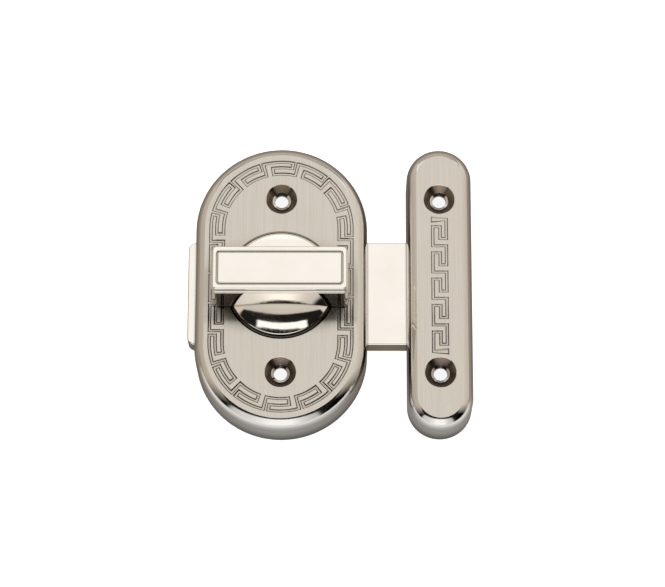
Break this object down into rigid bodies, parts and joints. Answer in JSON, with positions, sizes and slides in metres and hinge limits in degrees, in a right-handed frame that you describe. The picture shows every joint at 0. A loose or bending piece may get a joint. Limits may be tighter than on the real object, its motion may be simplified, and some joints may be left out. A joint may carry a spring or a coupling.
{
  "type": "slide bolt",
  "caption": "Surface slide bolt with a rectangular thumb turn on a dome, a flat bolt thrown by a crank, a rounded case with an engraved key border and a matching keeper.",
  "frame": {"origin": "on the thumb turn's axis, in the plane of the back that lies on the door", "axes": "+Z out of the door face, +X the way the bolt is thrown, towards the keeper, +Y up along the case"},
  "size_m": [0.0745, 0.0766, 0.0285],
  "materials": {
    "satin_nickel": "satin nickel plate, vertically brushed",
    "polished_nickel": "polished nickel plate",
    "zinc_plate": "bright zinc plated steel",
    "spring_steel": "tempered spring steel",
    "brass": "turned brass",
    "nylon": "natural nylon sheet"
  },
  "bodies": {
    "case": {"housing": "satin_nickel", "back_plate": "zinc_plate", "back_plate_screws": "zinc_plate", "spindle_bush": "brass", "seat_washer": "nylon", "bolt_spring": "spring_steel", "spring_rivet": "spring_steel", "keeper": "satin_nickel"},
    "turn": {"thumb_turn": "polished_nickel", "square_spindle": "zinc_plate", "spring_washer": "spring_steel", "crank_plate": "zinc_plate", "crank_pin": "zinc_plate", "crank_screw": "zinc_plate", "crank_screw_washer": "zinc_plate"},
    "bolt_bar": {"bolt": "polished_nickel"}
  },
  "joints": [
    {"name": "turn_pivot", "type": "hinge", "parent": "case", "child": "turn", "pos_m": [0, 0, 0.0135], "axis": [0, 0, 1], "range_deg": [0, 90]},
    {"name": "bolt_slide", "type": "slide", "parent": "case", "child": "bolt_bar", "axis": [1, 0, 0], "range_m": [-0.01203, 0]}
  ],
  "couplings": [
    {"joint": "bolt_slide", "follows": "turn_pivot", "m_per_rad": -0.0076527}
  ]
}
